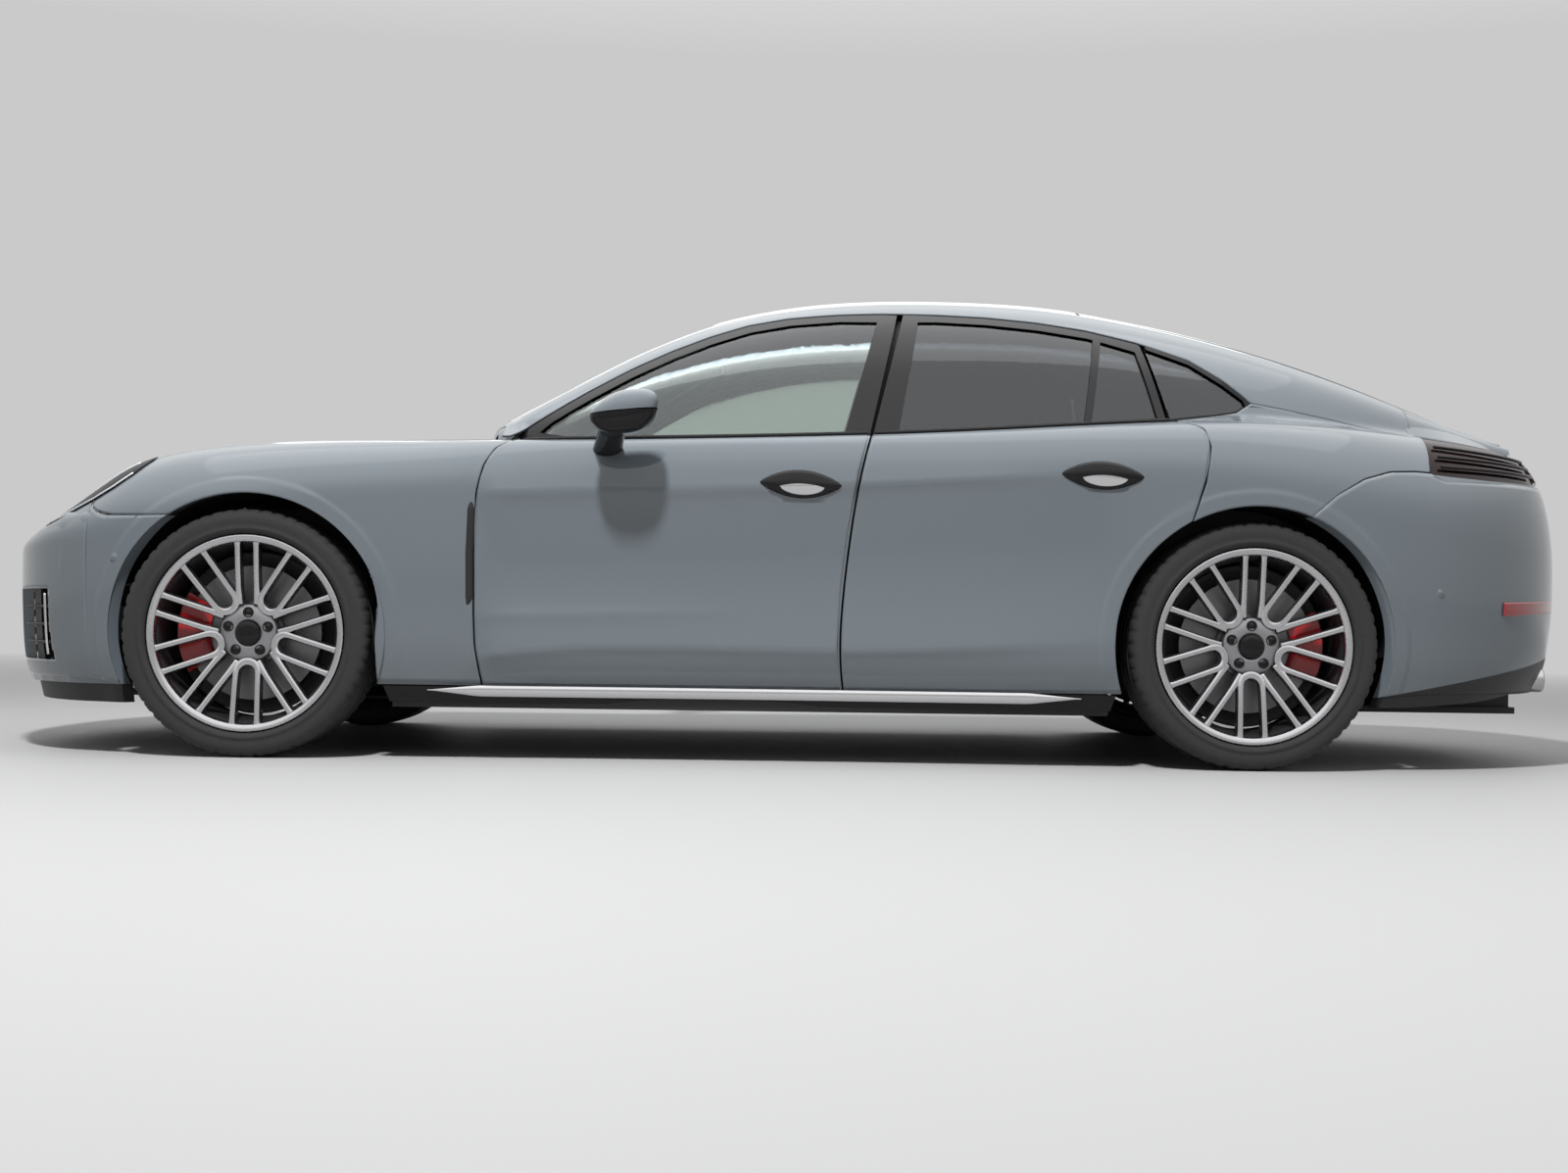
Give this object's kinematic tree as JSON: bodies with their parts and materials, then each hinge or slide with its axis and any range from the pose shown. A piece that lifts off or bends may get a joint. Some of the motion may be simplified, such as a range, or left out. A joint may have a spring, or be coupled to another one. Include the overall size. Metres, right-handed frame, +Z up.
{
  "type": "sports sedan",
  "caption": "Low sports sedan with a fastback tail, opening doors, bonnet and tailgate, steered front wheels and turning wheels, with glass, lamps, seats and brakes.",
  "frame": {"origin": "on the ground under the middle of the car's box", "axes": "+X to the nose, +Y to the car's left side, +Z up"},
  "size_m": [4.9002, 2.256, 1.4361],
  "materials": {
    "paint": "gloss slate grey-blue",
    "clear_glass": "lightly tinted",
    "dark_glass": "privacy tint",
    "black_gloss": "gloss",
    "black_plastic": "matt grained",
    "lamp_clear": "clear cover",
    "lamp_red": "smoked red",
    "shell": "dark underbody coat",
    "chrome": "polished",
    "engine": "cast",
    "rim": "machined and painted grey",
    "tyre": "rubber",
    "disc": "turned",
    "caliper": "red gloss",
    "steel": "cast and painted",
    "seat": "black leather"
  },
  "bodies": {
    "body": {"body_side_l": "paint", "body_side_r": "paint", "front_wing_l": "paint", "front_wing_r": "paint", "front_bumper": "paint", "rear_bumper": "paint", "roof_panel": "paint", "windscreen": "clear_glass", "quarter_glass": "dark_glass", "quarter_window_frame": "black_gloss", "grille": "black_gloss", "front_lip": "black_plastic", "diffuser": "black_plastic", "side_skirts": "black_plastic", "dashboard": "black_plastic", "steering_wheel": "black_plastic", "headlamps": "lamp_clear", "tail_lamps": "lamp_red", "body_shell": "shell", "b_pillars": "shell", "exhaust_tips": "chrome", "engine_block": "engine", "rear_calipers": "caliper", "rear_suspension": "steel", "front_suspension": "steel", "front_seats": "seat", "rear_seats": "seat"},
    "bonnet": {"bonnet": "paint"},
    "tailgate": {"tailgate": "paint", "tailgate_glass": "dark_glass", "tail_light_bar": "lamp_red"},
    "front_door_l": {"front_door_l": "paint", "front_door_glass_l": "clear_glass", "mirror_l": "black_gloss"},
    "rear_door_l": {"rear_door_l": "paint", "rear_door_glass_l": "dark_glass"},
    "knuckle_l": {"knuckle_l": "steel", "caliper_fl": "caliper"},
    "front_door_r": {"front_door_r": "paint", "front_door_glass_r": "clear_glass", "mirror_r": "black_gloss"},
    "rear_door_r": {"rear_door_r": "paint", "rear_door_glass_r": "dark_glass"},
    "knuckle_r": {"knuckle_r": "steel", "caliper_fr": "caliper"},
    "wheel_fl": {"rim_fl": "rim", "tyre_fl": "tyre", "brake_disc_fl": "disc"},
    "wheel_fr": {"rim_fr": "rim", "tyre_fr": "tyre", "brake_disc_fr": "disc"},
    "wheel_rl": {"rim_rl": "rim", "tyre_rl": "tyre", "brake_disc_rl": "disc"},
    "wheel_rr": {"rim_rr": "rim", "tyre_rr": "tyre", "brake_disc_rr": "disc"}
  },
  "joints": [
    {"name": "bonnet_hinge", "type": "hinge", "parent": "body", "child": "bonnet", "pos_m": [0.88, 0, 0.935], "axis": [0, -1, 0], "range_deg": [0, 55]},
    {"name": "tailgate_hinge", "type": "hinge", "parent": "body", "child": "tailgate", "pos_m": [-0.877, 0, 1.402], "axis": [0, 1, 0], "range_deg": [0, 75]},
    {"name": "front_door_l_hinge", "type": "hinge", "parent": "body", "child": "front_door_l", "pos_m": [0.88, 0.944, 0.5], "axis": [0, 0, -1], "range_deg": [0, 66]},
    {"name": "rear_door_l_hinge", "type": "hinge", "parent": "body", "child": "rear_door_l", "pos_m": [-0.2, 0.93, 0.5], "axis": [0, 0, -1], "range_deg": [0, 66]},
    {"name": "steer_l", "type": "hinge", "parent": "body", "child": "knuckle_l", "pos_m": [1.565, 0.8225, 0.358], "axis": [0, 0, 1], "range_deg": [-35, 35]},
    {"name": "front_door_r_hinge", "type": "hinge", "parent": "body", "child": "front_door_r", "pos_m": [0.88, -0.944, 0.5], "axis": [0, 0, 1], "range_deg": [0, 66]},
    {"name": "rear_door_r_hinge", "type": "hinge", "parent": "body", "child": "rear_door_r", "pos_m": [-0.2, -0.93, 0.5], "axis": [0, 0, 1], "range_deg": [0, 66]},
    {"name": "steer_r", "type": "hinge", "parent": "body", "child": "knuckle_r", "pos_m": [1.565, -0.8225, 0.358], "axis": [0, 0, 1], "range_deg": [-35, 35]},
    {"name": "wheel_fl_spin", "type": "hinge", "parent": "knuckle_l", "child": "wheel_fl", "pos_m": [1.565, 0.8225, 0.358], "axis": [0, 1, 0], "continuous": true},
    {"name": "wheel_fr_spin", "type": "hinge", "parent": "knuckle_r", "child": "wheel_fr", "pos_m": [1.565, -0.8225, 0.358], "axis": [0, 1, 0], "continuous": true},
    {"name": "wheel_rl_spin", "type": "hinge", "parent": "body", "child": "wheel_rl", "pos_m": [-1.335, 0.8225, 0.358], "axis": [0, 1, 0], "continuous": true},
    {"name": "wheel_rr_spin", "type": "hinge", "parent": "body", "child": "wheel_rr", "pos_m": [-1.335, -0.8225, 0.358], "axis": [0, 1, 0], "continuous": true}
  ],
  "couplings": [
    {"joint": "steer_r", "follows": "steer_l", "ratio": 1}
  ]
}
